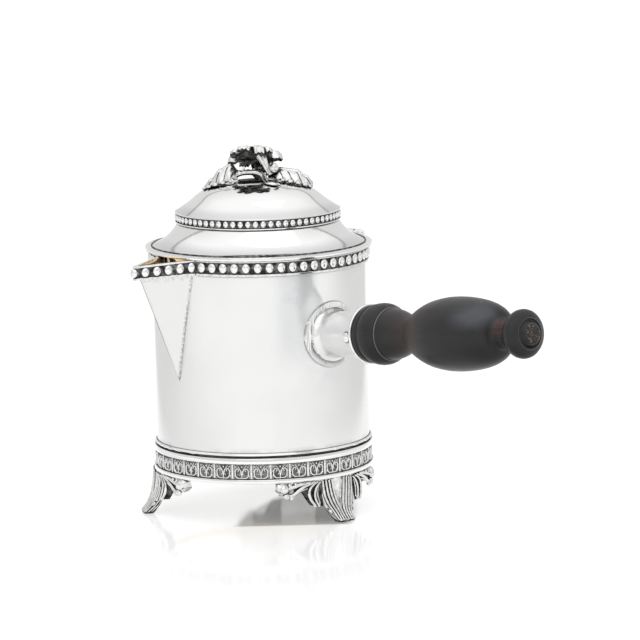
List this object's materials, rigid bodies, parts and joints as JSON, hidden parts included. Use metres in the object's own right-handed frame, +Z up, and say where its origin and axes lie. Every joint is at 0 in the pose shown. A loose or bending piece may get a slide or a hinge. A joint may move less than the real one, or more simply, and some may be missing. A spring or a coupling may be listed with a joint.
{
  "type": "lidded milk jug",
  "caption": "Upright cylindrical milk jug with V-shaped spout, hinged domed lid, cast leaf feet and a turned wooden side handle.",
  "frame": {"origin": "on the table, under the middle of the whole jug's bounding box", "axes": "+X along the wooden handle, away from the body; -Y towards the nose of the spout; +Y towards the lid's hinge; +Z up"},
  "size_m": [0.2124, 0.122, 0.1543],
  "materials": {
    "silver_sheet": "polished silver",
    "silver_cast": "cast silver with blackened recesses",
    "ebonised_wood": "ebonised, satin, worn brown at the necks"
  },
  "bodies": {
    "jug": {"body_wall": "silver_sheet", "body_floor": "silver_sheet", "spout": "silver_sheet", "rim_moulding_left": "silver_sheet", "rim_moulding_right": "silver_sheet", "spout_moulding": "silver_sheet", "top_reed": "silver_sheet", "wide_fillet": "silver_sheet", "frieze_band": "silver_cast", "lower_fillet": "silver_sheet", "foot_handle": "silver_cast", "foot_hinge": "silver_cast", "foot_spout": "silver_cast", "handle_flange": "silver_sheet", "handle_socket": "silver_sheet", "socket_ring": "silver_sheet", "socket_pin": "silver_sheet", "handle_grip": "ebonised_wood", "hinge_body_leaf": "silver_sheet", "hinge_pin": "silver_sheet"},
    "lid": {"lid_flange": "silver_sheet", "lid_bezel": "silver_sheet", "lid_cove": "silver_sheet", "lid_moulding": "silver_sheet", "lid_dome": "silver_sheet", "hinge_lid_leaf": "silver_sheet", "finial_branch": "silver_cast", "finial_flower": "silver_cast", "finial_bud": "silver_cast", "finial_leaf_left": "silver_cast", "finial_leaf_right": "silver_cast"}
  },
  "joints": [
    {"name": "lid_hinge", "type": "hinge", "parent": "jug", "child": "lid", "pos_m": [-0.05842, 0.05912, 0.1114], "axis": [-1, 0, 0], "range_deg": [0, 100]}
  ]
}
